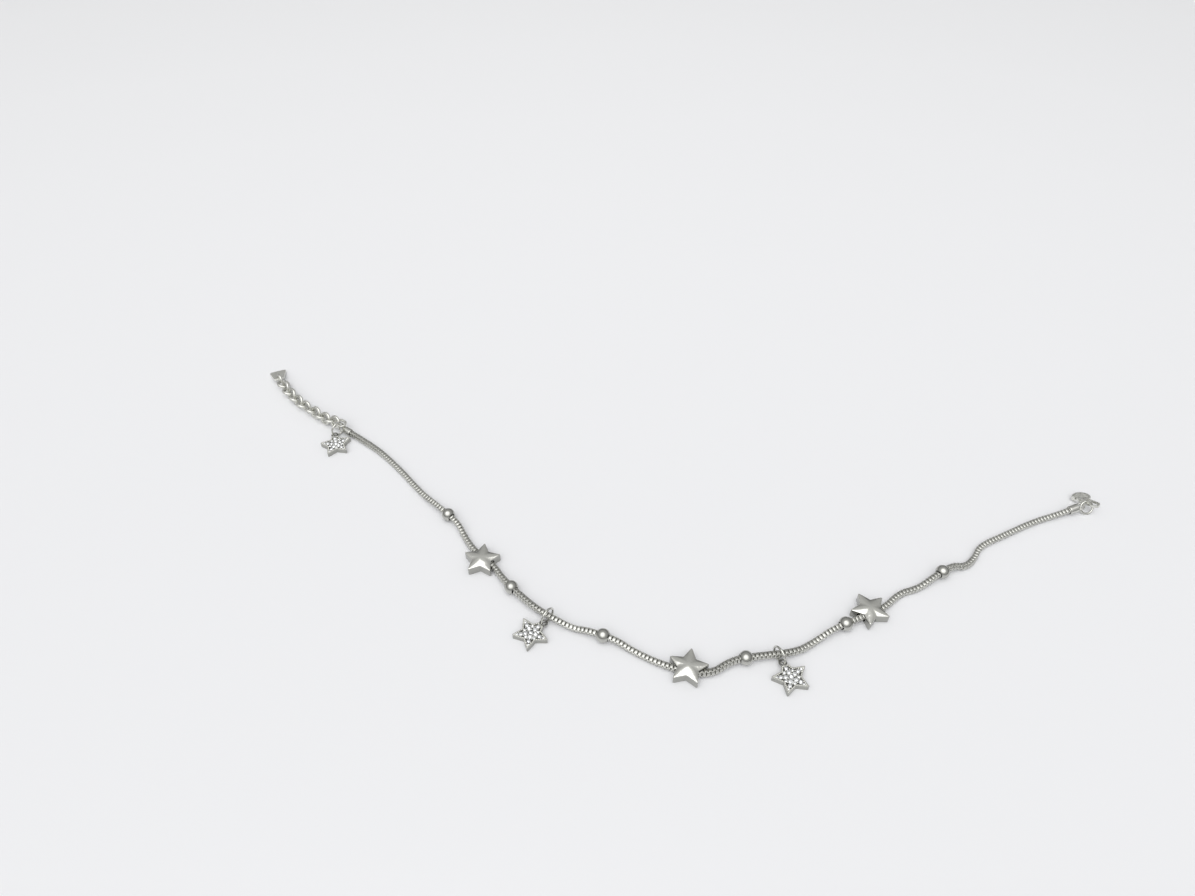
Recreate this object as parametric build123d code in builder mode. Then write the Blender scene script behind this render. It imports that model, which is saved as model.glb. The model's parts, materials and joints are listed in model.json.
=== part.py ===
"""Charm anklet lying open on a flat surface: square box chain threaded with balls and stars."""

import os
from math import asin, atan2, cos, degrees, radians, sin, sqrt, tan

from build123d import *

os.makedirs("parts", exist_ok=True)

# ---- Driving dimensions, millimetres and degrees --------------------------------------
# Frame: Z up, the surface at z = 0, X along the anklet, Y away from the worn front.

chain_width = 1.4  # square chain, built as one round tube

ball_diameter = 3.2
ball_bore = 1.9
ball_axis = ball_diameter / 2

star_tip = 4.6
star_notch = 2.4
star_tip_round = 0.2
star_wall = 2.2
star_crown = 0.6
star_bore = 1.95
star_axis = 1.1

ring_outer = 4.3
ring_wire = 0.5
ring_seam = 3.0  # degrees left open where the wire's ends meet
chain_off_ring_middle = 0.55  # chain's axis beyond the middle of a ring hung on it
loop_wire = 0.4
loop_radius = 0.75
charm_loop_height = 0.95
cap_loop_radius = 0.85

charm_tip = 4.35
charm_notch = 2.23
charm_thickness = 1.3
charm_rim = 0.3
charm_recess = 0.2
charm_loop_reach = 3.7  # star's centre to its loop's centre

cap_diameter = 2.1
cap_length = 2.4
cap_bore = 1.7
cap_bore_depth = 1.7
cap_round = 0.25
chain_end_gap = 0.1  # chain's end to the bottom of the cap's bore

extender_width = 2.8  # cable chain, built as one round tube
link_length = 3.8
link_width = 2.8
link_wire = 0.65

tag_length = 5.9
tag_width = 4.8
tag_neck = 2.6
tag_thickness = 0.5
tag_hole = 1.4
tag_hole_inset = 1.2
tag_round = 0.8

clasp_ring_outer = 3.6
clasp_ring_tilt = 50.0
clasp_half_thickness = 0.7
clasp_edge_round = 0.2
clasp_near_side = 0.75
claw_start = 3.1
claw_outer = 2.15
claw_centre = (4.75, -0.3)
claw_inner = 1.6
claw_inner_centre = (4.8, -0.3)
claw_lip = 0.3
mouth_start = 4.3
mouth_end = 5.75
eye_length = 4.0
eye_half_width = 1.0
eye_half_thickness = 0.3
eye_wall = 0.34
eye_hole_end = 3.0
eye_ring_place = (2.1, 0.0)  # where the ring's wire goes through the eye's hole
slot_start = 3.37
slot_depth = 0.45
slot_floor = 0.3
slot_half_height = 0.35
lever_half_height = 0.3
lever_knuckle = 0.48
lever_reach = 2.22
lever_width = 0.36
lever_nub_place = 0.8
lever_nub_width = 0.4
lever_nub_height = 0.7
pin_place = (3.9, 0.2)
pin_diameter = 0.4
pin_running_gap = 0.04
pin_press_gap = 0.01
clasp_heading = 126.0
clasp_pitch = 19.0  # claw down on the surface, eye up on its ring

# ---- Route of the main chain ----------------------------------------------------------
# Corners of its straight runs: x, y and the height of the chain's axis.

route = [
    (-82.62, 26.16, 1.15),
    (-74.92, 21.11, 0.70),
    (-66.52, 12.66, 0.70),
    (-59.22, 3.61, 0.70),
    (-53.82, -1.79, 1.60),
    (-48.42, -7.04, 1.60),
    (-46.62, -10.69, 0.85),
    (-43.52, -15.74, 1.10),
    (-38.52, -19.99, 1.10),
    (-36.32, -23.89, 1.55),
    (-31.62, -28.99, 1.65),
    (-27.62, -32.59, 1.50),
    (-22.42, -35.89, 1.50),
    (-19.32, -37.19, 0.85),
    (-15.92, -38.24, 1.60),
    (-10.12, -40.54, 1.60),
    (-6.72, -42.79, 0.80),
    (0.43, -46.84, 1.10),
    (9.23, -49.04, 1.10),
    (14.58, -45.44, 1.55),
    (20.48, -44.54, 1.65),
    (28.48, -43.64, 1.65),
    (32.58, -40.99, 0.80),
    (37.58, -37.89, 1.95),
    (43.78, -34.79, 1.25),
    (50.38, -31.89, 0.95),
    (54.90, -27.60, 0.75),
    (59.60, -26.30, 0.75),
    (63.40, -23.85, 1.60),
    (68.88, -20.24, 1.60),
    (72.43, -20.04, 0.85),
    (75.43, -17.34, 0.70),
    (77.53, -13.84, 0.70),
    (84.38, -10.54, 0.70),
    (93.18, -6.19, 0.70),
    (99.48, -4.04, 0.75),
    (104.63, -2.39, 1.50),
]

# What is threaded on the chain sits at the middle of a run, named by the run's number.
ball_runs = [4, 9, 14, 19, 23, 28]
star_runs = [7, 17, 24]
ring_runs = [11, 20]

# Side of each threaded star's centre that the chain passes: 1 is left of the run's heading.
star_sides = [1, -1, -1]
charm_ring_headings = [-128.0, -62.0]  # side of each chain ring on which its charm hangs
charm_headings = [45.0, 109.0]  # heading of each hanging charm's loop, seen from its centre

join_ring_centre = (-84.82, 25.81)
join_ring_heading = -127.5  # side on which its charm hangs
join_charm_heading = 107.0
join_link_height = 2.6
join_link_reach = 0.92  # middle of the extender's first link beyond the ring's wire

clasp_ring_in_loop = 0.1  # its wire beyond the middle of the end cap's loop
clasp_ring_heading = 95.0  # direction in which the ring rises
clasp_ring_turn = 42.0  # its point in the clasp's eye, up from its level side

extender_route = [
    (-85.57, 28.31, 2.25),
    (-89.32, 30.51, 1.40),
    (-93.72, 33.91, 1.40),
    (-98.12, 37.41, 1.40),
    (-102.32, 41.81, 1.40),
    (-105.62, 46.51, 1.40),
]
tag_heading = 113.0
tag_rise = 15.0  # its outer end lies on the surface, its hole is up on the last link


# ---- Helpers --------------------------------------------------------------------------
def save(part, name):
    """Name one finished piece and write it."""
    part.label = name
    export_step(part, f"parts/{name}.step")


def heading(angle):
    """Unit vector in the horizontal direction of an angle from X."""
    return Vector(cos(radians(angle)), sin(radians(angle)), 0)


def arc_radii(points, share=0.45):
    """Largest smooth arc for each corner that leaves both of its runs partly straight."""
    radii = []
    for before, corner, after in zip(points, points[1:], points[2:]):
        run_in = Vector(*corner) - Vector(*before)
        run_out = Vector(*after) - Vector(*corner)
        half_turn = radians(run_in.get_angle(run_out) / 2)
        radii.append(share * min(run_in.length, run_out.length) / tan(half_turn))
    return radii


def run_middle(index):
    """Middle of a run of the main chain, and the run's horizontal heading."""
    start = Vector(*route[index])
    end = Vector(*route[index + 1])
    run = end - start
    return (start + end) / 2, degrees(atan2(run.Y, run.X))


def tube_along(points, diameter):
    """Solid tube along straight runs joined by tangent arcs."""
    with BuildPart() as tube:
        with BuildLine() as line:
            FilletPolyline(*points, radius=arc_radii(points))
        with BuildSketch(Plane(origin=line.line @ 0, z_dir=line.line % 0)):
            Circle(diameter / 2)
        sweep()
    return tube.part


def jump_ring(plane, outer, wire):
    """Round wire ring in the plane's XY, its small seam on the plane's X axis."""
    middle_radius = (outer - wire) / 2
    start = plane.rotated((0, 0, ring_seam / 2))
    section = Plane(
        origin=start.origin + start.x_dir * middle_radius,
        x_dir=start.x_dir,
        z_dir=start.y_dir,
    )
    with BuildPart() as ring:
        with BuildSketch(section):
            Circle(wire / 2)
        revolve(axis=Axis(plane.origin, plane.z_dir), revolution_arc=360 - ring_seam)
    return ring.part


def star_points(tip, notch, trimmed=None):
    """Corners of a five-pointed star with a tip on X, that tip cut short if asked."""
    corners = []
    for number in range(5):
        angle = number * 72
        if number == 0 and trimmed:
            slope = notch * sin(radians(36)) / (tip - notch * cos(radians(36)))
            half_width = slope * (tip - trimmed)
            corners += [(trimmed, -half_width), (trimmed, half_width)]
        else:
            corners.append((tip * cos(radians(angle)), tip * sin(radians(angle))))
        corners.append((notch * cos(radians(angle + 36)), notch * sin(radians(angle + 36))))
    return corners


# ---- Main chain -----------------------------------------------------------------------
save(tube_along(route, chain_width), "box_chain")


# ---- Ball beads -----------------------------------------------------------------------
def ball_bead(index):
    """Polished ball bored for the chain, resting on the surface: a profile turned on its bore."""
    middle, direction = run_middle(index)
    centre = Vector(middle.X, middle.Y, ball_axis)
    turning = Plane(origin=centre, x_dir=heading(direction), z_dir=heading(direction - 90))
    with BuildPart() as ball:
        with BuildSketch(turning):
            Circle(ball_diameter / 2)
            with Locations((0, ball_bore / 2)):
                Rectangle(
                    2 * ball_diameter,
                    2 * ball_diameter,
                    align=(Align.CENTER, Align.MAX),
                    mode=Mode.SUBTRACT,
                )
        revolve(axis=Axis(centre, heading(direction)))
    return ball.part


for number, index in enumerate(ball_runs, start=1):
    save(ball_bead(index), f"ball_bead_{number}")


# ---- Threaded stars -------------------------------------------------------------------
def star_bead(index, side):
    """Thick ridged star, flat underneath, bored from a notch to the next but one."""
    middle, direction = run_middle(index)
    towards_bore = direction + 90 * side
    centre = Vector(middle.X, middle.Y, 0) - heading(towards_bore) * star_notch * cos(radians(72))
    base = Plane(origin=centre, x_dir=heading(towards_bore + 36), z_dir=(0, 0, 1))
    with BuildPart() as star:
        with BuildSketch(base.offset(star_wall)) as outline:
            with BuildLine():
                Polyline(*star_points(star_tip, star_notch), close=True)
            make_face()
            tips = outline.vertices().sort_by_distance((0, 0))[-5:]
            fillet(tips, star_tip_round)
        extrude(amount=-star_wall)
        top = Vertex(centre.X, centre.Y, star_wall + star_crown)
        loft([outline.sketch.face(), top], ruled=True)
        bore_middle = Vector(middle.X, middle.Y, star_axis)
        with BuildSketch(Plane(origin=bore_middle, z_dir=heading(direction))):
            Circle(star_bore / 2)
        extrude(amount=star_tip, both=True, mode=Mode.SUBTRACT)
    return star.part


for number, (index, side) in enumerate(zip(star_runs, star_sides), start=1):
    save(star_bead(index, side), f"star_bead_{number}")


# ---- Hanging charms -------------------------------------------------------------------
def star_charm(loop_place, loop_heading):
    """Flat star with a rim round its stone bed and a loop soldered to one tip."""
    centre = loop_place - heading(loop_heading) * charm_loop_reach
    base = Plane(origin=(centre.X, centre.Y, 0), x_dir=heading(loop_heading), z_dir=(0, 0, 1))
    loop_middle = base.from_local_coords(Vector(charm_loop_reach, 0, charm_loop_height))
    body_reach = charm_loop_reach - loop_radius
    corners = star_points(charm_tip, charm_notch, body_reach)
    with BuildPart() as charm:
        with BuildSketch(base) as outline:
            with BuildLine():
                Polyline(*corners, close=True)
            make_face()
            tips = outline.vertices().sort_by_distance((0, 0))[-4:]
            fillet(tips, star_tip_round)
        extrude(amount=charm_thickness)
        with BuildSketch(base.offset(charm_thickness)) as bed:
            with BuildLine():
                Polyline(*corners, close=True)
            make_face()
            offset(amount=-charm_rim, kind=Kind.INTERSECTION)
        extrude(amount=-charm_recess, mode=Mode.SUBTRACT)
        with Locations(loop_middle):
            Torus(loop_radius, loop_wire / 2)
    return charm.part


ring_radius = (ring_outer - ring_wire) / 2
ring_height = ring_outer / 2


def loop_run(height):
    """Distance from an upright ring's middle to a level loop hung on it at that height."""
    drop = ring_height - height
    return ring_radius * sqrt(1 - drop**2 / (ring_radius**2 - loop_radius**2))


def upright_ring(middle, side):
    """Jump ring standing on the surface, its plane through the side on which its charm hangs."""
    plane = Plane(origin=middle, x_dir=(0, 0, 1), z_dir=heading(side + 90))
    return jump_ring(plane, ring_outer, ring_wire)


for number, index in enumerate(ring_runs):
    side = charm_ring_headings[number]
    on_chain, _ = run_middle(index)
    ring_middle = Vector(on_chain.X, on_chain.Y, ring_height) + heading(side) * chain_off_ring_middle
    save(upright_ring(ring_middle, side), f"charm_ring_{number + 2}")
    loop_place = ring_middle + heading(side) * loop_run(charm_loop_height)
    save(star_charm(loop_place, charm_headings[number]), f"star_charm_{number + 2}")


# ---- Chain's end caps -----------------------------------------------------------------
def end_cap(chain_end, chain_next):
    """Cylinder soldered over the chain's end, with a loop beyond it; and the loop's middle."""
    along = (Vector(*chain_next) - Vector(*chain_end)).normalized()
    loop_place = Vector(*chain_end) - along * cap_setback
    across = Vector(0, 0, 1).cross(along)
    with BuildPart() as cap:
        with BuildSketch(Plane(origin=loop_place + along * cap_loop_radius, z_dir=along)):
            Circle(cap_diameter / 2)
        extrude(amount=cap_length)
        fillet(cap.edges().filter_by(GeomType.CIRCLE), cap_round)
        mouth = loop_place + along * (cap_loop_radius + cap_length)
        with BuildSketch(Plane(origin=mouth, z_dir=-along)):
            Circle(cap_bore / 2)
        extrude(amount=cap_bore_depth, mode=Mode.SUBTRACT)
        with Locations(Plane(origin=loop_place, x_dir=along, z_dir=along.cross(across))):
            Torus(cap_loop_radius, loop_wire / 2)
    return cap.part, loop_place


cap_setback = cap_loop_radius + cap_length - cap_bore_depth + chain_end_gap

extender_cap, _ = end_cap(route[0], route[1])
save(extender_cap, "end_cap_extender")

clasp_cap, clasp_loop = end_cap(route[-1], route[-2])
save(clasp_cap, "end_cap_clasp")


# ---- Extender end ---------------------------------------------------------------------
join_middle = Vector(*join_ring_centre, ring_height)
save(upright_ring(join_middle, join_ring_heading), "join_ring")
join_loop_place = join_middle + heading(join_ring_heading) * loop_run(charm_loop_height)
save(star_charm(join_loop_place, join_charm_heading), "star_charm_1")


def link_outline():
    """Long link in outline, for the sketch that calls it."""
    SlotOverall(link_length, link_width)
    SlotOverall(link_length - 2 * link_wire, link_width - 2 * link_wire, mode=Mode.SUBTRACT)


extender_start = Vector(*extender_route[1]) - Vector(*extender_route[0])
extender_finish = Vector(*extender_route[-1]) - Vector(*extender_route[-2])
start_heading = degrees(atan2(extender_start.Y, extender_start.X))
finish_heading = degrees(atan2(extender_finish.Y, extender_finish.X))
link_run = sqrt(ring_radius**2 - (ring_height - join_link_height) ** 2)
link_start = Vector(*join_ring_centre, join_link_height) - heading(join_ring_heading) * link_run
first_link = link_start + heading(start_heading) * join_link_reach
tag_hole_height = (tag_length - tag_hole_inset) * sin(radians(tag_rise)) + tag_thickness / 2
last_link = Vector(*extender_route[-1][:2], tag_hole_height) + heading(finish_heading) * link_width / 4

extender_tube = tube_along(extender_route, extender_width)
with BuildPart() as extender_chain:
    add(extender_tube)
    with BuildSketch(Plane(origin=first_link, x_dir=heading(start_heading), z_dir=(0, 0, 1))):
        link_outline()
    extrude(amount=link_wire / 2, both=True)
    with BuildSketch(Plane(origin=last_link, x_dir=heading(finish_heading), z_dir=heading(finish_heading + 90))):
        link_outline()
    extrude(amount=link_wire / 2, both=True)
save(extender_chain.part, "extender_chain")

hole_place = last_link + heading(finish_heading) * (link_length - link_wire) / 2
tag_direction = heading(tag_heading) * cos(radians(tag_rise)) - Vector(0, 0, sin(radians(tag_rise)))
tag_across = heading(tag_heading + 90)
tag_plane = Plane(origin=hole_place, x_dir=tag_direction, z_dir=tag_direction.cross(tag_across))

with BuildPart() as extender_tag:
    with BuildSketch(tag_plane) as tag_outline:
        with BuildLine():
            Polyline(
                (-tag_hole_inset, -tag_neck / 2),
                (tag_length - tag_hole_inset, -tag_width / 2),
                (tag_length - tag_hole_inset, tag_width / 2),
                (-tag_hole_inset, tag_neck / 2),
                close=True,
            )
        make_face()
        fillet(tag_outline.vertices(), tag_round)
        Circle(tag_hole / 2, mode=Mode.SUBTRACT)
    extrude(amount=tag_thickness / 2, both=True)
save(extender_tag.part, "extender_tag")


# ---- Clasp ring -----------------------------------------------------------------------
clasp_ring_radius = (clasp_ring_outer - ring_wire) / 2
clasp_ring_height = clasp_ring_radius * sin(radians(clasp_ring_tilt)) + ring_wire / 2
rise = heading(clasp_ring_heading) * cos(radians(clasp_ring_tilt)) + Vector(0, 0, sin(radians(clasp_ring_tilt)))
level = heading(clasp_ring_heading - 90)
loop_turn = asin((clasp_loop.Z - clasp_ring_height) / (clasp_ring_radius * rise.Z))
clasp_ring_middle = (
    clasp_loop + level * (clasp_ring_in_loop + clasp_ring_radius * cos(loop_turn))
    - rise * clasp_ring_radius * sin(loop_turn)
)
save(
    jump_ring(Plane(origin=clasp_ring_middle, x_dir=rise, z_dir=level.cross(rise)), clasp_ring_outer, ring_wire),
    "clasp_ring",
)


# ---- Lobster clasp --------------------------------------------------------------------
# Its plane has X from the eye's end to the claw's tip, and Y to the side of the lever.
turn = radians(clasp_ring_turn)
wire_place = clasp_ring_middle + (level * cos(turn) + rise * sin(turn)) * clasp_ring_radius
pitch = radians(clasp_pitch)
clasp_along = heading(clasp_heading) * cos(pitch) - Vector(0, 0, sin(pitch))
clasp_across = heading(clasp_heading + 90)
clasp_plane = Plane(
    origin=wire_place - clasp_along * eye_ring_place[0] - clasp_across * eye_ring_place[1],
    x_dir=clasp_along,
    z_dir=clasp_along.cross(clasp_across),
)
lip_inside = clasp_near_side - claw_lip

with BuildPart() as clasp_body:
    with BuildSketch(clasp_plane):
        with Locations(claw_centre):
            Circle(claw_outer)
        with Locations((claw_centre[0], clasp_near_side)):
            Rectangle(3 * claw_outer, claw_outer, align=(Align.CENTER, Align.MIN), mode=Mode.SUBTRACT)
        with Locations((claw_start, 0)):
            Rectangle(claw_outer, 3 * claw_outer, align=(Align.MAX, Align.CENTER), mode=Mode.SUBTRACT)
    extrude(amount=clasp_half_thickness, both=True)
    outer_edges = clasp_body.faces().sort_by(Axis(clasp_plane.origin, clasp_plane.z_dir))
    fillet(outer_edges[0].edges() + outer_edges[-1].edges(), clasp_edge_round)
    with BuildSketch(clasp_plane):
        with Locations((eye_length / 2, 0)):
            SlotOverall(eye_length, 2 * eye_half_width)
    extrude(amount=eye_half_thickness, both=True)
    with BuildSketch(clasp_plane):
        with Locations(((eye_wall + eye_hole_end) / 2, 0)):
            SlotOverall(eye_hole_end - eye_wall, 2 * (eye_half_width - eye_wall))
    extrude(amount=clasp_half_thickness, both=True, mode=Mode.SUBTRACT)
    with BuildSketch(clasp_plane):
        with Locations(claw_inner_centre):
            Circle(claw_inner)
        with Locations((mouth_start, -slot_depth - slot_floor)):
            Rectangle(claw_outer, 3 * claw_outer, align=(Align.MAX, Align.MIN), mode=Mode.SUBTRACT)
        with Locations((claw_centre[0], lip_inside)):
            Rectangle(3 * claw_outer, claw_outer, align=(Align.CENTER, Align.MIN), mode=Mode.SUBTRACT)
        with Locations((mouth_start, 0)):
            Rectangle(mouth_end - mouth_start, 2 * clasp_near_side, align=(Align.MIN, Align.CENTER))
    extrude(amount=clasp_half_thickness, both=True, mode=Mode.SUBTRACT)
    with BuildSketch(clasp_plane):
        with Locations((slot_start, -slot_depth)):
            Rectangle(2 * (mouth_start - slot_start), 2, align=(Align.MIN, Align.MIN))
    extrude(amount=slot_half_height, both=True, mode=Mode.SUBTRACT)
    with BuildSketch(clasp_plane):
        with Locations(pin_place):
            Circle(pin_diameter / 2 + pin_press_gap)
    extrude(amount=clasp_half_thickness, both=True, mode=Mode.SUBTRACT)
save(clasp_body.part, "clasp_body")

with BuildPart() as clasp_lever:
    with BuildSketch(clasp_plane):
        with Locations(pin_place):
            Circle(lever_knuckle)
            Rectangle(lever_reach, lever_width, align=(Align.MIN, Align.CENTER))
            with Locations((lever_nub_place, 0)):
                Rectangle(lever_nub_width, lever_nub_height, align=(Align.CENTER, Align.MIN))
            Circle(pin_diameter / 2 + pin_running_gap, mode=Mode.SUBTRACT)
    extrude(amount=lever_half_height, both=True)
save(clasp_lever.part, "clasp_lever")

with BuildPart() as clasp_pin:
    with BuildSketch(clasp_plane):
        with Locations(pin_place):
            Circle(pin_diameter / 2)
    extrude(amount=clasp_half_thickness, both=True)
save(clasp_pin.part, "clasp_pin")
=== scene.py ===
"""Looks of the charm anklet: chain links, pave stones, soft cast edges and polished silver."""

import json
import random
from math import acos, atan2, cos, degrees, pi, radians, sin, sqrt

import bmesh
import bpy
from mathutils import Matrix, Vector

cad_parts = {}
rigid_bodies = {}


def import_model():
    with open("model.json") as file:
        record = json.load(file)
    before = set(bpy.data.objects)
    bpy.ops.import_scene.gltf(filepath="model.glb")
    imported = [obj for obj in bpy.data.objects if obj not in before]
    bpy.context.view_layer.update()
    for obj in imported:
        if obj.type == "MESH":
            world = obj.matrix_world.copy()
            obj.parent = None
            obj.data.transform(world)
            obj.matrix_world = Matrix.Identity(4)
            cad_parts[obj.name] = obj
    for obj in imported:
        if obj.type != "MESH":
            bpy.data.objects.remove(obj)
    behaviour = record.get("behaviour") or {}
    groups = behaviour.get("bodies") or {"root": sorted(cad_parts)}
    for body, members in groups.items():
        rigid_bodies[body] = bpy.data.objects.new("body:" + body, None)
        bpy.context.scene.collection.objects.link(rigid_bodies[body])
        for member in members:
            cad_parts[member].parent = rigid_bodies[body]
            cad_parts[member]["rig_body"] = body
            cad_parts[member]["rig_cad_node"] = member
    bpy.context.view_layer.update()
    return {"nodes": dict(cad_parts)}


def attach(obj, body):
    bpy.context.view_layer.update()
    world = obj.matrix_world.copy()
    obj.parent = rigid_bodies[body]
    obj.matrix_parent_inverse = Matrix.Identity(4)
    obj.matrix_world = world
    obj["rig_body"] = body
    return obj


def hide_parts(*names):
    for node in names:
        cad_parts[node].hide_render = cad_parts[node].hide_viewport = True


MM = 0.001
UP = Vector((0, 0, 1))

# ---- Camera, millimetres and degrees in the frame -------------------------------------
CAMERA_PLACE = (-14.22, -145.19, 163.0)
CAMERA_PITCH = 44.5
CAMERA_LENS = 26.0
CAMERA_SENSOR = 36.0

# ---- Sizes that the construction uses too, millimetres --------------------------------
CHAIN_ROUTE = [
    (-82.62, 26.16, 1.15),
    (-74.92, 21.11, 0.70),
    (-66.52, 12.66, 0.70),
    (-59.22, 3.61, 0.70),
    (-53.82, -1.79, 1.60),
    (-48.42, -7.04, 1.60),
    (-46.62, -10.69, 0.85),
    (-43.52, -15.74, 1.10),
    (-38.52, -19.99, 1.10),
    (-36.32, -23.89, 1.55),
    (-31.62, -28.99, 1.65),
    (-27.62, -32.59, 1.50),
    (-22.42, -35.89, 1.50),
    (-19.32, -37.19, 0.85),
    (-15.92, -38.24, 1.60),
    (-10.12, -40.54, 1.60),
    (-6.72, -42.79, 0.80),
    (0.43, -46.84, 1.10),
    (9.23, -49.04, 1.10),
    (14.58, -45.44, 1.55),
    (20.48, -44.54, 1.65),
    (28.48, -43.64, 1.65),
    (32.58, -40.99, 0.80),
    (37.58, -37.89, 1.95),
    (43.78, -34.79, 1.25),
    (50.38, -31.89, 0.95),
    (54.90, -27.60, 0.75),
    (59.60, -26.30, 0.75),
    (63.40, -23.85, 1.60),
    (68.88, -20.24, 1.60),
    (72.43, -20.04, 0.85),
    (75.43, -17.34, 0.70),
    (77.53, -13.84, 0.70),
    (84.38, -10.54, 0.70),
    (93.18, -6.19, 0.70),
    (99.48, -4.04, 0.75),
    (104.63, -2.39, 1.50),
]
EXTENDER_ROUTE = [
    (-85.57, 28.31, 2.25),
    (-89.32, 30.51, 1.40),
    (-93.72, 33.91, 1.40),
    (-98.12, 37.41, 1.40),
    (-102.32, 41.81, 1.40),
    (-105.62, 46.51, 1.40),
]

# What is threaded or hung on the chain sits at the middle of one of its route's runs.
BALL_RUNS = [4, 9, 14, 19, 23, 28]
BALL_RADIUS = 1.6
BALL_BORE_RADIUS = 0.95
STAR_RUNS = [7, 17, 24]
STAR_SIDES = [1, -1, -1]
STAR_TIP = 4.6
STAR_NOTCH = 2.4
STAR_WALL = 2.2
STAR_CROWN = 0.6
STAR_BORE_HEIGHT = 1.1
STAR_BORE_RADIUS = 0.975
RING_RUNS = [11, 20]
RING_HEADINGS = [-128.0, -62.0]
CHARM_HEADINGS = [45.0, 109.0]
CHAIN_OFF_RING_MIDDLE = 0.55
RING_OUTER = 4.3
RING_WIRE = 0.5
LOOP_RADIUS = 0.75
CHARM_LOOP_HEIGHT = 0.95
CHARM_LOOP_REACH = 3.7
CHARM_THICKNESS = 1.3
CHARM_BED = 1.1
JOIN_RING_CENTRE = (-84.82, 25.81)
JOIN_RING_HEADING = -127.5
JOIN_CHARM_HEADING = 107.0
JOIN_LINK_HEIGHT = 2.6
JOIN_LINK_REACH = 0.92
TAG_HOLE_REACH = 2.275
TAG_HOLE_HEIGHT = 1.47

# ---- Chain links, millimetres ---------------------------------------------------------
BOX_LINK_LENGTH = 0.83
BOX_LINK_HEIGHT = 1.3
BOX_LINK_DEPTH = 1.04
BOX_LINK_STRIP = 0.16
BOX_LINK_ROUND = 0.2
BOX_LINK_EDGE = 0.035
BOX_LINK_PITCH = 0.46
CHAIN_END = 0.45
CHAIN_WAVES = [(16, 9.5, 0.8), (7, 3.7, 0.0)]  # twist in degrees, its run in mm and its start
CHAIN_JITTER = 2.0

CABLE_LINK_LENGTH = 3.8
CABLE_LINK_WIDTH = 3.6
CABLE_LINK_WIRE = 0.78
CABLE_LINK_PITCH = 1.85
CABLE_LEAN = 24.0
CABLE_LEAN_STEP = 22.0  # the lean grows by this from the level and upright end links inwards
CABLE_JITTER = 9.0
WIRE_SIDES = 12
LINK_END_STEPS = 12
JOIN_LINK_WIDTH = 2.8
JOIN_LINK_WIRE = 0.65


def heading(angle):
    """Unit vector in the horizontal direction of an angle from X, in degrees."""
    return Vector((cos(radians(angle)), sin(radians(angle)), 0))


# ---- Materials ------------------------------------------------------------------------
# Painted shade: a wall below a given height is painted this darker tone, standing in for the
# shade the walls get.
PAINTED_SHADE_FLANK_TONE = 0.4
PAINTED_SHADE_FLANK_FADE = 0.12
BED_TONE = 0.13
LEVEL_NORMAL = 0.7  # a face that points up by more than this is the charm's bed, not its flank
CHARM_TONES = (0.56, 0.72)
CHARM_ROUGH = (0.16, 0.3)
CHARM_CLOUDS_PER_MM = 1.5
CHARM_WAVES_PER_MM = 1.6
CHARM_WAVE_DEPTH = 0.012
CLOUDS_PER_MM = 0.5
POLISH_PER_MM = 3.0
CHARM_POLISH_PER_MM = 2.5
NOISE_RANGE = (0.35, 0.65)  # where most of a noise texture's values lie
STONE_DARK = (0.86, 0.88, 0.9)
STONE_LIGHT = (1, 1, 1)
STONE_ROUGH = (0.0, 0.04)
STONE_IOR = 2.2
STONE_CLEAR = 0.3
STONE_SPARKLE = 0.7


def new_material(name):
    """Node material with its Principled shader and an object-space coordinate socket."""
    material = bpy.data.materials.new(name)
    material.use_nodes = True
    nodes = material.node_tree.nodes
    shader = nodes["Principled BSDF"]
    place = nodes.new("ShaderNodeTexCoord").outputs["Object"]
    return material, nodes, material.node_tree.links, shader, place


def noise(nodes, links, place, per_mm, detail=3.0):
    """Noise texture with about that many features in a millimetre."""
    texture = nodes.new("ShaderNodeTexNoise")
    texture.inputs["Scale"].default_value = per_mm / MM
    texture.inputs["Detail"].default_value = detail
    links.new(place, texture.inputs["Vector"])
    return texture.outputs["Fac"]


def spread(nodes, links, value, low, high):
    """A noise value stretched over a range."""
    ranging = nodes.new("ShaderNodeMapRange")
    ranging.inputs["From Min"].default_value = NOISE_RANGE[0]
    ranging.inputs["From Max"].default_value = NOISE_RANGE[1]
    ranging.inputs["To Min"].default_value = low
    ranging.inputs["To Max"].default_value = high
    links.new(value, ranging.inputs["Value"])
    return ranging.outputs["Result"]


def tinted(nodes, links, factor, dark, light):
    """Colour between two, by a factor."""
    ramp = nodes.new("ShaderNodeValToRGB")
    ramp.color_ramp.elements[0].color = (*dark, 1)
    ramp.color_ramp.elements[1].color = (*light, 1)
    links.new(factor, ramp.inputs["Fac"])
    return ramp.outputs["Color"]


def warm(tone):
    """Slightly warm grey of silver in this light."""
    return (tone, tone, tone * 0.94)


def blended(nodes, links, factor, low, high):
    """Colour mixed from low to high by a factor; either can be a colour or a socket."""
    mix = nodes.new("ShaderNodeMix")
    mix.data_type = "RGBA"
    colours = [socket for socket in mix.inputs if socket.type == "RGBA"]
    for socket, colour in zip(colours, (low, high)):
        if isinstance(colour, tuple):
            socket.default_value = (*colour, 1)
        else:
            links.new(colour, socket)
    links.new(factor, mix.inputs["Factor"])
    return [socket for socket in mix.outputs if socket.type == "RGBA"][0]


def height_step(nodes, links, place, low_mm, high_mm):
    """Factor that rises from 0 to 1 between two heights."""
    axes = nodes.new("ShaderNodeSeparateXYZ")
    links.new(place, axes.inputs["Vector"])
    step = nodes.new("ShaderNodeMapRange")
    step.inputs["From Min"].default_value = low_mm * MM
    step.inputs["From Max"].default_value = high_mm * MM
    links.new(axes.outputs["Z"], step.inputs["Value"])
    return step.outputs["Result"]


def bumped(nodes, links, shader, height, depth_mm, strength=1.0):
    """Surface relief of that depth."""
    bump = nodes.new("ShaderNodeBump")
    bump.inputs["Distance"].default_value = depth_mm * MM
    bump.inputs["Strength"].default_value = strength
    links.new(height, bump.inputs["Height"])
    links.new(bump.outputs["Normal"], shader.inputs["Normal"])


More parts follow.
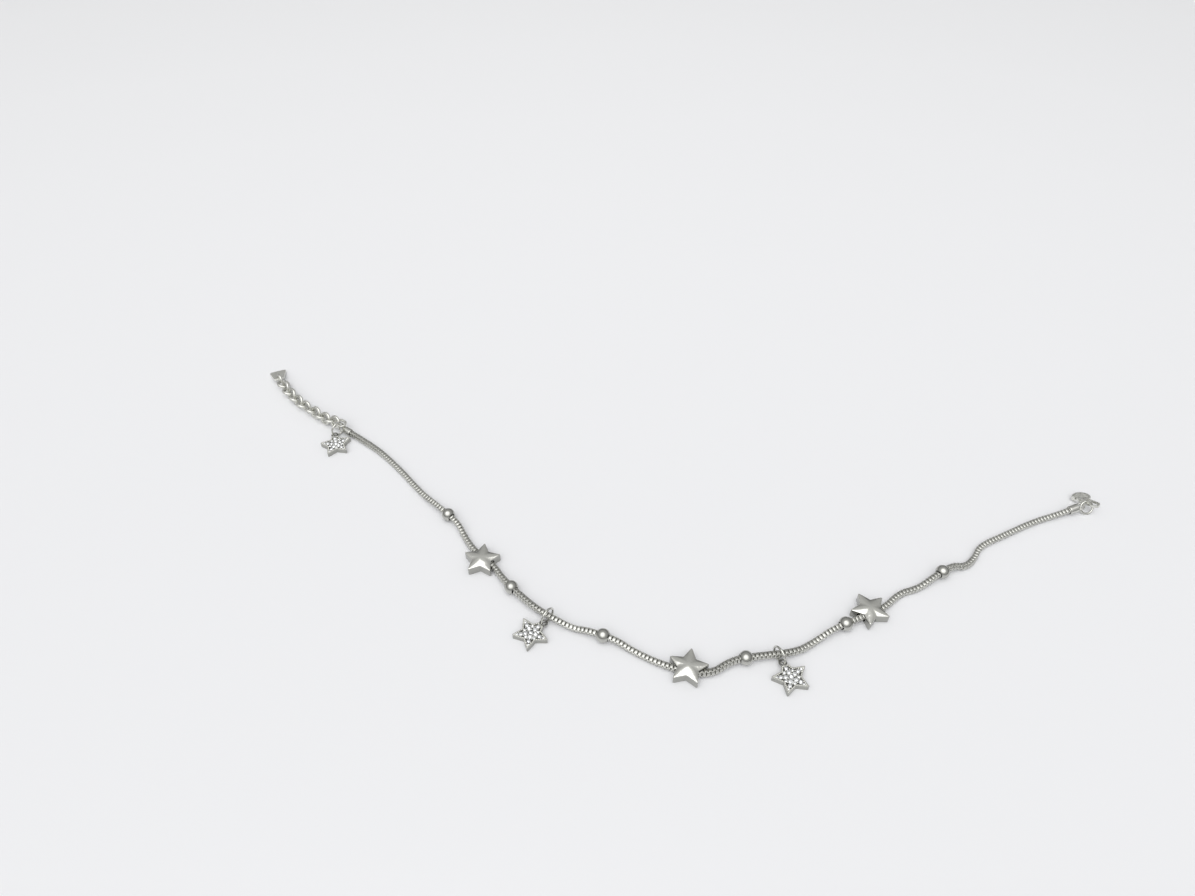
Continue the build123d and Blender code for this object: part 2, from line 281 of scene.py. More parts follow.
def silver(name, dark, light, rough, waves_per_mm=1.2, wave_depth=0.004, flank=None):
    """Polished silver with faint tarnish and uneven polish, with painted shade below its
    flank's height.
    """
    material, nodes, links, shader, place = new_material(name)
    shader.inputs["Metallic"].default_value = 1.0
    cloud = noise(nodes, links, place, CLOUDS_PER_MM)
    tint = tinted(nodes, links, cloud, warm(dark), warm(light))
    # Painted shade: below the flank's height the silver is painted a darker tone for the shade
    # on the wall.
    if flank:
        above = height_step(nodes, links, place, flank - PAINTED_SHADE_FLANK_FADE, flank)
        tint = blended(nodes, links, above, warm(PAINTED_SHADE_FLANK_TONE), tint)
    links.new(tint, shader.inputs["Base Color"])
    polish = noise(nodes, links, place, POLISH_PER_MM)
    links.new(spread(nodes, links, polish, *rough), shader.inputs["Roughness"])
    bumped(nodes, links, shader, noise(nodes, links, place, waves_per_mm), wave_depth)
    return material


def charm_metal():
    """Cast silver charm: dark bed between its stones, painted shade on its flank, and brighter
    rim.
    """
    material, nodes, links, shader, place = new_material("charm_silver")
    shader.inputs["Metallic"].default_value = 1.0
    rim = height_step(nodes, links, place, CHARM_BED + 0.02, CHARM_THICKNESS - 0.04)
    facing = nodes.new("ShaderNodeSeparateXYZ")
    normal = nodes.new("ShaderNodeNewGeometry").outputs["Normal"]
    links.new(normal, facing.inputs["Vector"])
    level = nodes.new("ShaderNodeMath")
    level.operation = "GREATER_THAN"
    level.inputs[1].default_value = LEVEL_NORMAL
    links.new(facing.outputs["Z"], level.inputs[0])
    # Painted shade: the charm's flank is painted a darker tone for the shade on its walls; the
    # bed between stones is darker still.
    low = blended(nodes, links, level.outputs["Value"], warm(PAINTED_SHADE_FLANK_TONE), warm(BED_TONE))
    cloud = noise(nodes, links, place, CHARM_CLOUDS_PER_MM)
    high = tinted(nodes, links, cloud, warm(CHARM_TONES[0]), warm(CHARM_TONES[1]))
    links.new(blended(nodes, links, rim, low, high), shader.inputs["Base Color"])
    polish = noise(nodes, links, place, CHARM_POLISH_PER_MM)
    links.new(spread(nodes, links, polish, *CHARM_ROUGH), shader.inputs["Roughness"])
    waves = noise(nodes, links, place, CHARM_WAVES_PER_MM)
    bumped(nodes, links, shader, waves, CHARM_WAVE_DEPTH)
    return material


def stone_material():
    """Clear cut stones, with a little inner cloud."""
    material, nodes, links, shader, place = new_material("charm_stone")
    cloud = noise(nodes, links, place, CHARM_CLOUDS_PER_MM)
    tint = tinted(nodes, links, cloud, STONE_DARK, STONE_LIGHT)
    links.new(tint, shader.inputs["Base Color"])
    links.new(spread(nodes, links, cloud, *STONE_ROUGH), shader.inputs["Roughness"])
    shader.inputs["IOR"].default_value = STONE_IOR
    shader.inputs["Transmission Weight"].default_value = STONE_CLEAR
    shader.inputs["Metallic"].default_value = STONE_SPARKLE
    return material


# ---- Making meshes --------------------------------------------------------------------
WELD_DISTANCE = 0.002
FLAT_ANGLE = 0.6  # degrees between faces that are one flat face
CAST_EDGE_ANGLE = 28.0
def new_piece(name, vertices, faces, material, body, sharp=40.0):
    """Mesh in millimetres, shaded smooth but for its sharp edges, riding on a body."""
    mesh = bpy.data.meshes.new(name)
    mesh.from_pydata([Vector(v) * MM for v in vertices], [], faces)
    mesh.validate()
    mesh.shade_smooth()
    mesh.set_sharp_from_angle(angle=radians(sharp))
    mesh.materials.append(material)
    piece = bpy.data.objects.new(name, mesh)
    bpy.context.scene.collection.objects.link(piece)
    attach(piece, body)
    return piece


def tube_faces(first, around, section):
    """Outward faces of a closed ring of sections, from its first vertex's number."""
    faces = []
    for i in range(around):
        for j in range(section):
            a = first + i * section + j
            b = first + i * section + (j + 1) % section
            c = first + (i + 1) % around * section + (j + 1) % section
            d = first + (i + 1) % around * section + j
            faces.append((a, d, c, b))
    return faces


def soft_copy(frame, node, material, width, segments):
    """A CAD node's own shape with its cast edges rounded, standing for the node."""
    piece = frame["nodes"][node].copy()
    piece.data = piece.data.copy()
    piece.name = node + "_cast"
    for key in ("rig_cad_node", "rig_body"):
        if key in piece:
            del piece[key]
    piece.parent = None
    bpy.context.scene.collection.objects.link(piece)
    mesh = bmesh.new()
    mesh.from_mesh(piece.data)
    bmesh.ops.remove_doubles(mesh, verts=mesh.verts, dist=WELD_DISTANCE * MM)
    flat = radians(FLAT_ANGLE)
    bmesh.ops.dissolve_limit(mesh, angle_limit=flat, verts=mesh.verts, edges=mesh.edges)
    mesh.to_mesh(piece.data)
    mesh.free()
    if piece.data.has_custom_normals:
        bpy.context.view_layer.objects.active = piece
        piece.select_set(True)
        bpy.ops.mesh.customdata_custom_splitnormals_clear()
        piece.select_set(False)
    piece.data.shade_smooth()
    bevel = piece.modifiers.new("edges", "BEVEL")
    bevel.width = width * MM
    bevel.segments = segments
    bevel.limit_method = "ANGLE"
    bevel.angle_limit = radians(CAST_EDGE_ANGLE)
    bevel.harden_normals = True
    piece.data.materials.clear()
    piece.data.materials.append(material)
    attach(piece, "lever" if node == "clasp_lever" else "anklet")
    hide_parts(node)
    return piece


# ---- The chains' lines ----------------------------------------------------------------
ROUTE_RESOLUTION = 64


def smooth_line(route):
    """Points along the NURBS spline whose control points are the route's, in millimetres."""
    curve = bpy.data.curves.new("route", "CURVE")
    curve.dimensions = "3D"
    curve.resolution_u = ROUTE_RESOLUTION
    spline = curve.splines.new("NURBS")
    spline.points.add(len(route) - 1)
    for point, place in zip(spline.points, route):
        point.co = (*place, 1)
    spline.order_u = 3
    spline.use_endpoint_u = True
    holder = bpy.data.objects.new("route", curve)
    mesh = bpy.data.meshes.new_from_object(holder)
    line = [vertex.co.copy() for vertex in mesh.vertices]
    bpy.data.objects.remove(holder)
    bpy.data.curves.remove(curve)
    bpy.data.meshes.remove(mesh)
    return line


class Line:
    """A line that is read by the distance along it."""

    def __init__(self, points):
        self.points = points
        self.at = [0.0]
        for a, b in zip(points, points[1:]):
            self.at.append(self.at[-1] + (b - a).length)
        self.length = self.at[-1]

    def place(self, distance):
        """Point at a distance, and the direction there."""
        low, high = 0, len(self.at) - 1
        while high - low > 1:
            middle = (low + high) // 2
            if self.at[middle] <= distance:
                low = middle
            else:
                high = middle
        a, b = self.points[low], self.points[high]
        share = (distance - self.at[low]) / (self.at[high] - self.at[low])
        return a.lerp(b, share), (b - a).normalized()


def run_middle(index):
    """Middle of a run of the main chain, and the run's horizontal heading in degrees."""
    start, end = Vector(CHAIN_ROUTE[index]), Vector(CHAIN_ROUTE[index + 1])
    run = end - start
    return (start + end) / 2, degrees(atan2(run.y, run.x))


# ---- Box chain ------------------------------------------------------------------------
def box_link_outline():
    """Corners of a link's outer face, seen from its side, each with its outward direction."""
    outline = []
    across, up = BOX_LINK_LENGTH / 2 - BOX_LINK_ROUND, BOX_LINK_HEIGHT / 2 - BOX_LINK_ROUND
    for corner, (x, y) in enumerate([(1, 1), (-1, 1), (-1, -1), (1, -1)]):
        for turn in (0, 45, 90):
            angle = radians(corner * 90 + turn)
            outward = Vector((cos(angle), sin(angle)))
            outline.append((Vector((x * across, y * up)) + outward * BOX_LINK_ROUND, outward))
    return outline


def box_link_section():
    """Section of a link's strip: depth across the link and distance in from its outer face."""
    half, edge, strip = BOX_LINK_DEPTH / 2, BOX_LINK_EDGE, BOX_LINK_STRIP
    return [
        (half - edge, 0),
        (half, edge),
        (half, strip - edge),
        (half - edge, strip),
        (edge - half, strip),
        (-half, strip - edge),
        (-half, edge),
        (edge - half, 0),
    ]


def box_chain(material):
    """Every second link stands up and the others lie flat, on a chain that turns a little."""
    line = Line(smooth_line(CHAIN_ROUTE))
    outline, section = box_link_outline(), box_link_section()
    chance = random.Random(11)
    vertices, faces = [], []
    count = int((line.length - 2 * CHAIN_END) / BOX_LINK_PITCH)
    for number in range(count + 1):
        distance = CHAIN_END + number * (line.length - 2 * CHAIN_END) / count
        middle, along = line.place(distance)
        twist = sum(size * sin(distance / run + start) for size, run, start in CHAIN_WAVES)
        twist += chance.uniform(-CHAIN_JITTER, CHAIN_JITTER)
        half_height = BOX_LINK_HEIGHT / 2 * cos(radians(twist))
        half_height += BOX_LINK_DEPTH / 2 * abs(sin(radians(twist)))
        middle.z = max(middle.z, half_height)
        side = UP.cross(along).normalized()
        above = along.cross(side)
        turn = radians(twist + 90 * (number % 2))
        height = above * cos(turn) + side * sin(turn)
        depth = along.cross(height)
        faces += tube_faces(len(vertices), len(outline), len(section))
        for (place, outward), (across, inward) in ((o, s) for o in outline for s in section):
            flat = place - outward * inward
            vertices.append(middle + along * flat.x + height * flat.y + depth * across)
    piece = new_piece("box_chain_links", vertices, faces, material, "anklet", 50)
    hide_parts("box_chain")


# ---- Extender -------------------------------------------------------------------------
def cable_link_centres(link_width, wire):
    """Points round the middle of a long link's wire, each with its outward direction."""
    radius = (link_width - wire) / 2
    straight = (CABLE_LINK_LENGTH - link_width) / 2
    centres = []
    for end, start in ((1, -90), (-1, 90)):
        for i in range(LINK_END_STEPS + 1):
            angle = radians(start + i * 180 / LINK_END_STEPS)
            outward = Vector((cos(angle), sin(angle)))
            centres.append((Vector((end * straight, 0)) + outward * radius, outward))
    return centres


def extender(material):
    """Cable chain: one link lies level on the join ring, and the last stands in the tag."""
    ring_radius = (RING_OUTER - RING_WIRE) / 2
    start_run = Vector(EXTENDER_ROUTE[1]) - Vector(EXTENDER_ROUTE[0])
    end_run = Vector(EXTENDER_ROUTE[-1]) - Vector(EXTENDER_ROUTE[-2])
    outwards = Vector((start_run.x, start_run.y, 0)).normalized()
    to_tag = Vector((end_run.x, end_run.y, 0)).normalized()
    rise = RING_OUTER / 2 - JOIN_LINK_HEIGHT
    first = Vector((*JOIN_RING_CENTRE, JOIN_LINK_HEIGHT))
    first -= heading(JOIN_RING_HEADING) * sqrt(ring_radius**2 - rise**2)
    first += outwards * JOIN_LINK_REACH
    last = Vector((*EXTENDER_ROUTE[-1][:2], TAG_HOLE_HEIGHT))
    last += to_tag * (TAG_HOLE_REACH - (CABLE_LINK_LENGTH - CABLE_LINK_WIRE) / 2)
    line = Line(smooth_line([first, *EXTENDER_ROUTE[1:-1], last]))
    count = 2 * round(line.length / CABLE_LINK_PITCH / 2) - 1
    chance = random.Random(5)
    vertices, faces = [], []
    for number in range(count + 1):
        middle, along = line.place(min(number * line.length / count, line.length - 0.001))
        inner = min(number, count - number)
        lean = min(CABLE_LEAN, CABLE_LEAN_STEP * inner)
        if inner:
            lean += chance.uniform(-CABLE_JITTER, CABLE_JITTER)
        else:
            along = to_tag if number else outwards
        side = UP.cross(along).normalized()
        above = along.cross(side)
        turn = radians(90 * (number % 2) + lean)
        width = side * cos(turn) + above * sin(turn)
        normal = along.cross(width)
        link_width = CABLE_LINK_WIDTH if number else JOIN_LINK_WIDTH
        wire = CABLE_LINK_WIRE if number else JOIN_LINK_WIRE
        centres = cable_link_centres(link_width, wire)
        middle.z = max(middle.z, abs(width.z) * (link_width - wire) / 2 + wire / 2)
        faces += tube_faces(len(vertices), len(centres), WIRE_SIDES)
        for place, outward in centres:
            out = along * outward.x + width * outward.y
            centre = middle + along * place.x + width * place.y
            for i in range(WIRE_SIDES):
                angle = radians(360 * i / WIRE_SIDES)
                around = out * cos(angle) + normal * sin(angle)
                vertices.append(centre + around * wire / 2)
    name = "extender_links"
    piece = new_piece(name, vertices, faces, material, "anklet", 60)
    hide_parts("extender_chain")


# ---- Ball beads -----------------------------------------------------------------------
BALL_LIP = 0.05
BALL_BORE_INSET = 0.04
BALL_PROFILE_STEPS = 28
BALL_SIDES = 64


def ball_bead(number, index, material):
    """Polished ball with a small flat lip round each end of its bore."""
    middle, direction = run_middle(index)
    centre = Vector((middle.x, middle.y, BALL_RADIUS))
    along, side = heading(direction), heading(direction + 90)
    end = acos(BALL_BORE_RADIUS / BALL_RADIUS)
    profile = []
    for i in range(BALL_PROFILE_STEPS + 1):
        angle = -end + 2 * end * i / BALL_PROFILE_STEPS
        profile.append((BALL_RADIUS * sin(angle), BALL_RADIUS * cos(angle)))
    mouth = profile[-1][0]
    for x in (mouth - BALL_LIP, 0.0, BALL_LIP - mouth):
        profile.append((x, BALL_BORE_RADIUS - BALL_BORE_INSET))
    vertices = []
    for i in range(BALL_SIDES):
        angle = 2 * pi * i / BALL_SIDES
        out = side * cos(angle) + UP * sin(angle)
        vertices += [centre + along * x + out * radius for x, radius in profile]
    faces = tube_faces(0, BALL_SIDES, len(profile))
    name = f"ball_bead_{number}_polished"
    piece = new_piece(name, vertices, faces, material, "anklet", 35)
    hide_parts(f"ball_bead_{number}")


# ---- Star beads -----------------------------------------------------------------------
STAR_PUFF = 1.7
STAR_BLUR = 2.4  # half angle over which the outline's corners are softened
STAR_INNER_BLUR = 28.0  # the same in the crown's middle
STAR_BLUR_FADE = 0.7
STAR_BLUR_EDGE = 0.93
STAR_BLUR_SHARES = (-1, -0.6, -0.2, 0.2, 0.6, 1)
STAR_SIDES_ROUND = 240
STAR_FOOT = [(0.93, 0.0), (0.98, 0.04), (1.0, 0.16)]  # share of the outline, height
STAR_SHOULDER = [(1.0, -0.16), (0.993, -0.06), (0.975, 0.01)]  # share, height above the wall
STAR_CROWN_EDGE = 0.95
STAR_CROWN_STEPS = 12
STAR_CROWN_TURN = 7.0
BORE_SIDES = 48
BORE_CUTTER_LENGTH = 20.0


def star_radius(angle, half_blur):
    """Distance from a star bead's centre to its soft outline, at an angle from a tip's line."""
    tip = Vector((STAR_TIP, 0))
    notch = Vector((STAR_NOTCH * cos(radians(36)), STAR_NOTCH * sin(radians(36))))
    side = notch - tip
    reach = 0.0
    for share in STAR_BLUR_SHARES:
        off = radians(abs((angle + share * half_blur + 36) % 72 - 36))
        reach += STAR_TIP * side.y / (cos(off) * side.y - sin(off) * side.x)
    return reach / len(STAR_BLUR_SHARES)


def star_bead(number, index, side, material):
    """Puffed star on a straight wall, bored through for the chain."""
    middle, direction = run_middle(index)
    across = direction + 90 * side
    centre = Vector((middle.x, middle.y, 0))
    centre -= heading(across) * STAR_NOTCH * cos(radians(72))
    rings = [(share, height) for share, height in STAR_FOOT]
    rings += [(share, STAR_WALL + above) for share, above in STAR_SHOULDER]
    for i in range(STAR_CROWN_STEPS + 1):
        share = STAR_CROWN_EDGE * cos(radians(STAR_CROWN_TURN * i))
        rings.append((share, STAR_WALL + STAR_CROWN * (1 - share**STAR_PUFF)))
    vertices, faces, around = [], [], STAR_SIDES_ROUND
    for share, height in rings:
        inner = (1 - min(share / STAR_BLUR_EDGE, 1)) ** STAR_BLUR_FADE
        half_blur = STAR_BLUR + (STAR_INNER_BLUR - STAR_BLUR) * inner
        for i in range(around):
            angle = 360 * i / around
            out = heading(across + 36 + angle) * star_radius(angle, half_blur)
            place = centre + out * share
            vertices.append((place.x, place.y, height))
    for ring in range(len(rings) - 1):
        for i in range(around):
            a, b = ring * around + i, ring * around + (i + 1) % around
            faces.append((a, b, b + around, a + around))
    faces.append(tuple(reversed(range(around))))
    faces.append(tuple(range((len(rings) - 1) * around, len(rings) * around)))
    name = f"star_bead_{number}_puffed"
    piece = new_piece(name, vertices, faces, material, "anklet", 35)
    bore(piece, Vector((middle.x, middle.y, STAR_BORE_HEIGHT)), direction)
    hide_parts(f"star_bead_{number}")


def bore(piece, middle, direction):
    """Cut a round bore through a piece, level and along a heading."""
    mesh = bmesh.new()
    size = STAR_BORE_RADIUS * MM
    length = BORE_CUTTER_LENGTH * MM
    turn = Matrix.Rotation(radians(direction), 4, "Z") @ Matrix.Rotation(pi / 2, 4, "Y")
    place = Matrix.Translation(middle * MM) @ turn
    bmesh.ops.create_cone(
        mesh,
        cap_ends=True,
        segments=BORE_SIDES,
        radius1=size,
        radius2=size,
        depth=length,
        matrix=place,
    )
    cutter_mesh = bpy.data.meshes.new("cutter")
    mesh.to_mesh(cutter_mesh)
    mesh.free()
    cutter = bpy.data.objects.new("cutter", cutter_mesh)
    bpy.context.scene.collection.objects.link(cutter)
    cut = piece.modifiers.new("bore", "BOOLEAN")
    cut.operation = "DIFFERENCE"
    cut.solver = "EXACT"
    cut.object = cutter
    graph = bpy.context.evaluated_depsgraph_get()
    bored = bpy.data.meshes.new_from_object(piece.evaluated_get(graph))
    piece.modifiers.remove(cut)
    piece.data = bored
    bored.shade_smooth()
    bored.set_sharp_from_angle(angle=radians(35))
    bpy.data.objects.remove(cutter)
    bpy.data.meshes.remove(cutter_mesh)


# ---- Pave charms ----------------------------------------------------------------------
STONE_ROWS = [  # distance from the centre, angle beside a tip's line, diameter
    (1.14, 0, 1.1),
    (1.62, 36, 0.78),
    (2.19, 0, 1.02),
    (3.05, 0, 0.72),
    (3.62, 0, 0.44),
]
CENTRE_STONE = 1.08
PRONG_ROWS = [  # distance from the centre, angle beside a tip's line, radius
    (0.73, 36, 0.17),
    (1.29, 32, 0.13),
    (1.29, -32, 0.13),
    (1.74, 17, 0.18),
    (1.74, -17, 0.18),
    (2.67, 9, 0.15),
    (2.67, -9, 0.15),
    (3.39, 4, 0.12),
    (3.39, -4, 0.12),
]
RIM_BEAD = 0.19
RIM_BEAD_GAP = 0.42
CHARM_TIP = 4.35
CHARM_NOTCH = 2.23
RIM_INSET = 0.18
RIM_BEAD_SINK = 0.05
STONE_SINK = 0.1
STONE_JITTER = 0.02
STONE_TURN = 45
STONE_TILT = 14
PRONG_JITTER = 0.04
STONE_SEED = 20
CUT_STONE_RINGS = [  # corners, radius, height and turn of each ring, girdle first
    (16, 1.0, 0.0, 0),
    (16, 1.0, -0.06, 0),
    (8, 0.8, 0.24, 22.5),
    (8, 0.48, 0.42, 0),
    (1, 0.0, -0.7, 0),
]


def taken_from(mesh):
    """Vertices and faces of a working mesh, which is freed."""
    vertices = [vertex.co.copy() for vertex in mesh.verts]
    faces = [tuple(vertex.index for vertex in face.verts) for face in mesh.faces]
    mesh.free()
    return vertices, faces


def cut_stone():
    """Vertices and faces of a round cut stone of unit radius, table up."""
    mesh = bmesh.new()
    for count, radius, height, turn in CUT_STONE_RINGS:
        for i in range(count):
            angle = radians(360 * i / count + turn)
            mesh.verts.new((radius * cos(angle), radius * sin(angle), height))
    bmesh.ops.convex_hull(mesh, input=mesh.verts)
    mesh.verts.ensure_lookup_table()
    loose = [vertex for vertex in mesh.verts if not vertex.link_faces]
    bmesh.ops.delete(mesh, geom=loose, context="VERTS")
    bmesh.ops.dissolve_limit(mesh, angle_limit=radians(1), verts=mesh.verts, edges=mesh.edges)
    mesh.verts.index_update()
    return taken_from(mesh)


def prong_dome():
    """Vertices and faces of a round bead of unit radius."""
    mesh = bmesh.new()
    bmesh.ops.create_icosphere(mesh, subdivisions=2, radius=1.0)
    return taken_from(mesh)


def rim_bead_places():
    """Places along the middle of a charm's rim, round its centre, tip's line along X."""
    tips = [heading(i * 72) * (CHARM_TIP - 3 * RIM_INSET) for i in range(5)]
    notches = [heading(i * 72 + 36) * (CHARM_NOTCH - RIM_INSET) for i in range(5)]
    places = []
    for i in range(5):
        for start, end in ((tips[i], notches[i]), (notches[i], tips[(i + 1) % 5])):
            count = round((end - start).length / RIM_BEAD_GAP)
            places += [start.lerp(end, step / count) for step in range(count)]
    return [place for place in places if place.x < CHARM_LOOP_REACH - LOOP_RADIUS - RIM_INSET]


def pave(number, centre, loop_heading, stones, metal):
    """Stones in the bed of one charm, and the beads that hold them and edge the rim."""
    chance = random.Random(STONE_SEED + number)
    stone_vertices, stone_faces = [], []
    shape, sides = cut_stone()
    rows = [(0, 0, CENTRE_STONE)]
    rows += [(r, beside + i * 72, across) for r, beside, across in STONE_ROWS for i in range(5)]
    for reach, angle, diameter in rows:
        if angle == 0 and reach + diameter / 2 > CHARM_LOOP_REACH - LOOP_RADIUS:
            continue
        place = centre + heading(loop_heading + angle) * reach
        place.z = CHARM_THICKNESS - STONE_SINK + chance.uniform(-STONE_JITTER, STONE_JITTER)
        tilt = Matrix.Rotation(radians(chance.uniform(0, STONE_TURN)), 3, "Z")
        for axis in "XY":
            lean = radians(chance.uniform(-STONE_TILT, STONE_TILT))
            tilt = Matrix.Rotation(lean, 3, axis) @ tilt
        first = len(stone_vertices)
        stone_vertices += [place + tilt @ vertex * (diameter / 2) for vertex in shape]
        stone_faces += [tuple(first + v for v in side) for side in sides]
    name = f"star_charm_{number}_stones"
    new_piece(name, stone_vertices, stone_faces, stones, "anklet", 3)

    beads = []
    for reach, beside, radius in PRONG_ROWS:
        for i in range(5):
            place = heading(i * 72 + beside) * reach
            place.z = CHARM_BED + radius + chance.uniform(0, PRONG_JITTER)
            if place.x < CHARM_LOOP_REACH - LOOP_RADIUS - RIM_INSET:
                beads.append((place, radius))
    for place in rim_bead_places():
        place.z = CHARM_THICKNESS - RIM_BEAD_SINK
        beads.append((place, RIM_BEAD))
    bead_vertices, bead_faces = [], []
    shape, sides = prong_dome()
    turn = Matrix.Rotation(radians(loop_heading), 3, "Z")
    for place, radius in beads:
        first = len(bead_vertices)
        bead_vertices += [centre + turn @ place + vertex * radius for vertex in shape]
        bead_faces += [tuple(first + v for v in side) for side in sides]
    name = f"star_charm_{number}_prongs"
    new_piece(name, bead_vertices, bead_faces, metal, "anklet", 60)


def loop_run():
    """Distance from an upright ring's middle to a charm's level loop hung on it."""
    ring_radius = (RING_OUTER - RING_WIRE) / 2
    drop = RING_OUTER / 2 - CHARM_LOOP_HEIGHT
    return ring_radius * sqrt(1 - drop**2 / (ring_radius**2 - LOOP_RADIUS**2))


def charm_places():
    """Centre and loop heading of each charm, from the ring on which it hangs."""
    hung = [(Vector((*JOIN_RING_CENTRE, 0)), JOIN_RING_HEADING, JOIN_CHARM_HEADING)]
    for index, side, loop_heading in zip(RING_RUNS, RING_HEADINGS, CHARM_HEADINGS):
        on_chain, _ = run_middle(index)
        ring = Vector((on_chain.x, on_chain.y, 0)) + heading(side) * CHAIN_OFF_RING_MIDDLE
        hung.append((ring, side, loop_heading))
    places = []
    for ring, side, loop_heading in hung:
        loop = ring + heading(side) * loop_run()
        places.append((loop - heading(loop_heading) * CHARM_LOOP_REACH, loop_heading))
    return places


# ---- Stage ----------------------------------------------------------------------------
STUDIO_TOP = (-0.12, -0.36, 0.93)
STUDIO_LEVELS = [  # how nearly a direction is the studio's top, and the light from there
    (-1.0, 0.22),
    (-0.3, 0.28),
    (0.15, 0.4),
    (0.42, 0.5),
    (0.66, 0.58),
    (0.76, 0.76),
    (0.81, 1.52),
    (1.0, 2.05),
]
STUDIO_HORIZON = 0.4
STUDIO_HORIZON_HEIGHTS = (-0.1, 0.3)
# Painted light: the floor's colour grows lighter from near to far, standing in for the light
# being brighter further back.
FLOOR_NEAR = (0.868, 0.872, 0.888)
FLOOR_FAR = (0.93, 0.933, 0.945)
FLOOR_FAR_AT = 0.45
FLOOR_ROUGHNESS = 0.14
FLOOR_IOR = 1.4
FLOOR_RADIUS = 1.6
FLOOR_SIDES = 96


def floor():
    """Round pale glossy surface, seen to its edge only in reflections, with painted light
    making it lighter further back.
    """
    mesh = bpy.data.meshes.new("floor")
    rim = [heading(360 * i / FLOOR_SIDES) * FLOOR_RADIUS for i in range(FLOOR_SIDES)]
    mesh.from_pydata(rim, [], [tuple(range(FLOOR_SIDES))])
    material, nodes, links, shader, place = new_material("floor_gloss")
    axes = nodes.new("ShaderNodeSeparateXYZ")
    links.new(place, axes.inputs["Vector"])
    # Painted light: the floor is painted lighter with distance along Y.
    painted_light_away = nodes.new("ShaderNodeMapRange")
    painted_light_away.inputs["From Max"].default_value = FLOOR_FAR_AT
    links.new(axes.outputs["Y"], painted_light_away.inputs["Value"])
    tint = tinted(nodes, links, painted_light_away.outputs["Result"], FLOOR_NEAR, FLOOR_FAR)
    links.new(tint, shader.inputs["Base Color"])
    shader.inputs["Roughness"].default_value = FLOOR_ROUGHNESS
    shader.inputs["IOR"].default_value = FLOOR_IOR
    mesh.materials.append(material)
    plane = bpy.data.objects.new("floor", mesh)
    bpy.context.scene.collection.objects.link(plane)


def world():
    """Studio round the object: grey at the sides, bright above the camera."""
    studio = bpy.data.worlds.new("studio")
    bpy.context.scene.world = studio
    studio.use_nodes = True
    nodes, links = studio.node_tree.nodes, studio.node_tree.links
    back = nodes["Background"]
    place = nodes.new("ShaderNodeTexCoord").outputs["Generated"]
    towards = nodes.new("ShaderNodeVectorMath")
    towards.operation = "DOT_PRODUCT"
    towards.inputs[1].default_value = Vector(STUDIO_TOP).normalized()
    links.new(place, towards.inputs[0])
    ranging = nodes.new("ShaderNodeMapRange")
    ranging.inputs["From Min"].default_value = -1.0
    links.new(towards.outputs["Value"], ranging.inputs["Value"])
    ramp = nodes.new("ShaderNodeValToRGB")
    stops = ramp.color_ramp
    levels = [(toward / 2 + 0.5, level) for toward, level in STUDIO_LEVELS]
    for stop, (position, level) in zip(stops.elements, (levels[0], levels[-1])):
        stop.position = position
        stop.color = (level, level, level, 1)
    for position, level in levels[1:-1]:
        stops.elements.new(position).color = (level, level, level, 1)
    links.new(ranging.outputs["Result"], ramp.inputs["Fac"])
    links.new(ramp.outputs["Color"], back.inputs["Color"])
    axes = nodes.new("ShaderNodeSeparateXYZ")
    links.new(place, axes.inputs["Vector"])
    low = nodes.new("ShaderNodeMapRange")
    low.inputs["From Min"].default_value = STUDIO_HORIZON_HEIGHTS[0]
    low.inputs["From Max"].default_value = STUDIO_HORIZON_HEIGHTS[1]
    low.inputs["To Min"].default_value = STUDIO_HORIZON
    links.new(axes.outputs["Z"], low.inputs["Value"])
    links.new(low.outputs["Result"], back.inputs["Strength"])


def sun(name, place, angle, strength):
    """Wide soft light from a direction."""
    data = bpy.data.lights.new(name, "SUN")
    data.angle = radians(angle)
    data.energy = strength
    light = bpy.data.objects.new(name, data)
    light.rotation_euler = (-Vector(place)).to_track_quat("-Z", "Y").to_euler()
    bpy.context.scene.collection.objects.link(light)


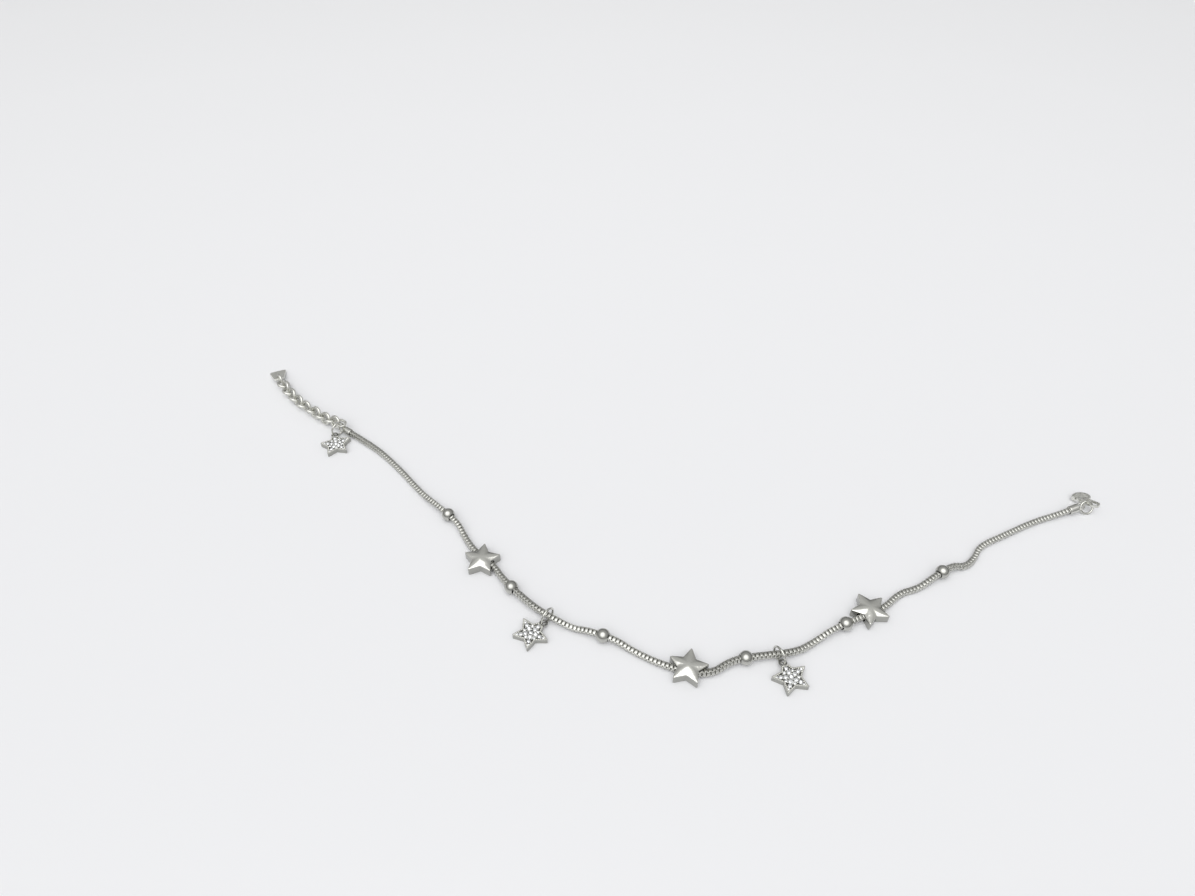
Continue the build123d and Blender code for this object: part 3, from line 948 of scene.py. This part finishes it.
def camera():
    """Camera at the angle from which the anklet is seen."""
    data = bpy.data.cameras.new("camera")
    data.lens = CAMERA_LENS
    data.sensor_width = CAMERA_SENSOR
    data.clip_start = 0.01
    data.clip_end = 10
    seen_from = bpy.data.objects.new("camera", data)
    seen_from.location = Vector(CAMERA_PLACE) * MM
    seen_from.rotation_euler = (radians(90 - CAMERA_PITCH), 0, 0)
    bpy.context.scene.collection.objects.link(seen_from)
    bpy.context.scene.camera = seen_from


# ---- Building it all ------------------------------------------------------------------
FINDINGS = [
    "clasp_pin",
    "clasp_ring",
    "join_ring",
    "charm_ring_2",
    "charm_ring_3",
    "end_cap_clasp",
    "end_cap_extender",
]
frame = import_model()

bpy.context.scene.view_settings.view_transform = "Standard"
camera()
floor()
world()
sun("overhead", (-0.25, -0.3, 1.0), 30, 0.12)

chain_silver = silver("chain_silver", 0.54, 0.68, (0.22, 0.34))
cable_silver = silver("cable_silver", 0.68, 0.82, (0.26, 0.4))
bead_silver = silver("bead_silver", 0.47, 0.57, (0.12, 0.2), 0.6, 0.003)
# The star beads' walls below this height get painted shade.
star_silver = silver("star_silver", 0.7, 0.82, (0.06, 0.12), 0.45, 0.09, STAR_WALL - 0.02)
finding_silver = silver("finding_silver", 0.58, 0.72, (0.1, 0.18))
clasp_silver = silver("clasp_silver", 0.74, 0.84, (0.24, 0.36))
tag_silver = silver("tag_silver", 0.8, 0.9, (0.36, 0.5))
prong_silver = silver("prong_silver", 0.74, 0.86, (0.12, 0.2))
charm_silver = charm_metal()
stones = stone_material()

box_chain(chain_silver)
extender(cable_silver)
for number, index in enumerate(BALL_RUNS, start=1):
    ball_bead(number, index, bead_silver)
for number, (index, side) in enumerate(zip(STAR_RUNS, STAR_SIDES), start=1):
    star_bead(number, index, side, star_silver)
for number in (1, 2, 3):
    soft_copy(frame, f"star_charm_{number}", charm_silver, 0.06, 2)
for number, (centre, loop_heading) in enumerate(charm_places(), start=1):
    pave(number, centre, loop_heading, stones, prong_silver)
for node in ("clasp_body", "clasp_lever"):
    soft_copy(frame, node, clasp_silver, 0.07, 2)
soft_copy(frame, "extender_tag", tag_silver, 0.1, 3)
for node in FINDINGS:
    frame["nodes"][node].data.materials.clear()
    frame["nodes"][node].data.materials.append(finding_silver)
